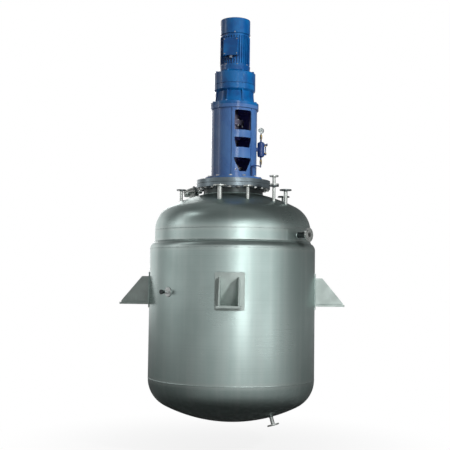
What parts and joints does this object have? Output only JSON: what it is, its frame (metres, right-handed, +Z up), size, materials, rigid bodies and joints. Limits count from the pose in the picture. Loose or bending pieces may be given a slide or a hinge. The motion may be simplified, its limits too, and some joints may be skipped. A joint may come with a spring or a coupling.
{
  "type": "synthesis reactor",
  "caption": "Jacketed stainless steel reactor with dished ends, support lugs, head nozzles and a top-mounted stirrer drive on an open lantern.",
  "frame": {"origin": "vessel axis at the underside of the support lug base plates", "axes": "+Z up along the vessel axis to the motor, -Y towards the front lug, +X to the right lug"},
  "size_m": [2.314, 2.314, 4.2023],
  "materials": {
    "vessel_steel": "satin stainless plate, ground and pickled",
    "flange_steel": "turned stainless flange",
    "pipe_steel": "drawn stainless pipe",
    "lug_steel": "ground stainless plate",
    "bolt_steel": "plain stainless fastener",
    "gasket": "black sealing ring",
    "lantern_blue": "satin blue enamel on cast iron",
    "drive_blue": "gloss blue enamel on cast iron",
    "cowl_blue": "gloss blue enamel on sheet steel",
    "pot_blue": "dark blue enamel",
    "shaft_steel": "turned shaft steel",
    "seal_steel": "machined seal steel",
    "core_steel": "laminated core steel",
    "fan_plastic": "moulded fan",
    "gauge_steel": "polished case",
    "brass": "cast brass cock",
    "needle_black": "black needle",
    "lever_red": "dark painted lever"
  },
  "bodies": {
    "vessel": {"vessel_shell": "vessel_steel", "vessel_upper_course": "vessel_steel", "vessel_top_head": "vessel_steel", "vessel_bottom_head": "vessel_steel", "jacket_shell": "vessel_steel", "jacket_bottom_head": "vessel_steel", "jacket_closure": "vessel_steel", "neck_flange": "flange_steel", "joint_gaskets": "gasket", "cover_plate": "flange_steel", "cover_bolts": "bolt_steel", "feed_nozzle": "pipe_steel", "dosing_nozzle": "pipe_steel", "probe_nozzle": "pipe_steel", "vapour_nozzle": "pipe_steel", "return_nozzle": "pipe_steel", "vent_nozzle": "pipe_steel", "probe_pocket": "pipe_steel", "handhole_neck": "flange_steel", "handhole_cover": "flange_steel", "handhole_bolts": "bolt_steel", "side_nozzle": "pipe_steel", "jacket_port": "pipe_steel", "drain_nozzle": "pipe_steel", "support_lug_front": "lug_steel", "support_lug_right": "lug_steel", "support_lug_rear": "lug_steel", "support_lug_left": "lug_steel", "lug_pads": "lug_steel", "lantern": "lantern_blue", "lantern_screws": "bolt_steel", "bearing_housings": "lantern_blue", "seal_housing": "seal_steel", "gearbox_base": "drive_blue", "gear_ring": "drive_blue", "gearbox_cover": "drive_blue", "gearbox_screws": "drive_blue", "motor_flange": "drive_blue", "motor_frame": "drive_blue", "stator_core": "core_steel", "fan_cowl": "cowl_blue", "terminal_box": "drive_blue", "terminal_lid": "drive_blue", "seal_pot": "pot_blue", "pot_bracket": "pot_blue", "pot_pipe": "pot_blue", "gauge_case": "gauge_steel", "gauge_cock": "brass", "pot_drain_valve": "brass"},
    "agitator": {"agitator_shaft": "shaft_steel", "lower_coupling": "shaft_steel", "output_shaft": "shaft_steel", "upper_stirrer": "shaft_steel", "lower_stirrer": "shaft_steel", "seal_sleeve": "seal_steel"},
    "motor_rotor": {"motor_rotor": "core_steel", "motor_fan": "fan_plastic"},
    "gauge_needle": {"gauge_needle": "needle_black"},
    "gauge_cock_lever": {"gauge_cock_lever": "lever_red"},
    "pot_drain_lever": {"pot_drain_lever": "lever_red"}
  },
  "joints": [
    {"name": "agitator_spin", "type": "hinge", "parent": "vessel", "child": "agitator", "pos_m": [0, 0, 1.5], "axis": [0, 0, 1], "continuous": true},
    {"name": "motor_spin", "type": "hinge", "parent": "vessel", "child": "motor_rotor", "pos_m": [0, 0, 2.675], "axis": [0, 0, 1], "continuous": true},
    {"name": "gauge_needle_turn", "type": "hinge", "parent": "vessel", "child": "gauge_needle", "pos_m": [0.28383, -0.00991, 1.828], "axis": [0, 1, 0], "range_deg": [0, 270]},
    {"name": "gauge_cock_turn", "type": "hinge", "parent": "vessel", "child": "gauge_cock_lever", "pos_m": [0.28383, -0.00991, 1.763], "axis": [0, -1, 0], "range_deg": [0, 90]},
    {"name": "pot_drain_turn", "type": "hinge", "parent": "vessel", "child": "pot_drain_lever", "pos_m": [0.28383, -0.00991, 1.499], "axis": [0, -1, 0], "range_deg": [0, 90]}
  ],
  "couplings": [
    {"joint": "motor_spin", "follows": "agitator_spin", "ratio": -17}
  ]
}
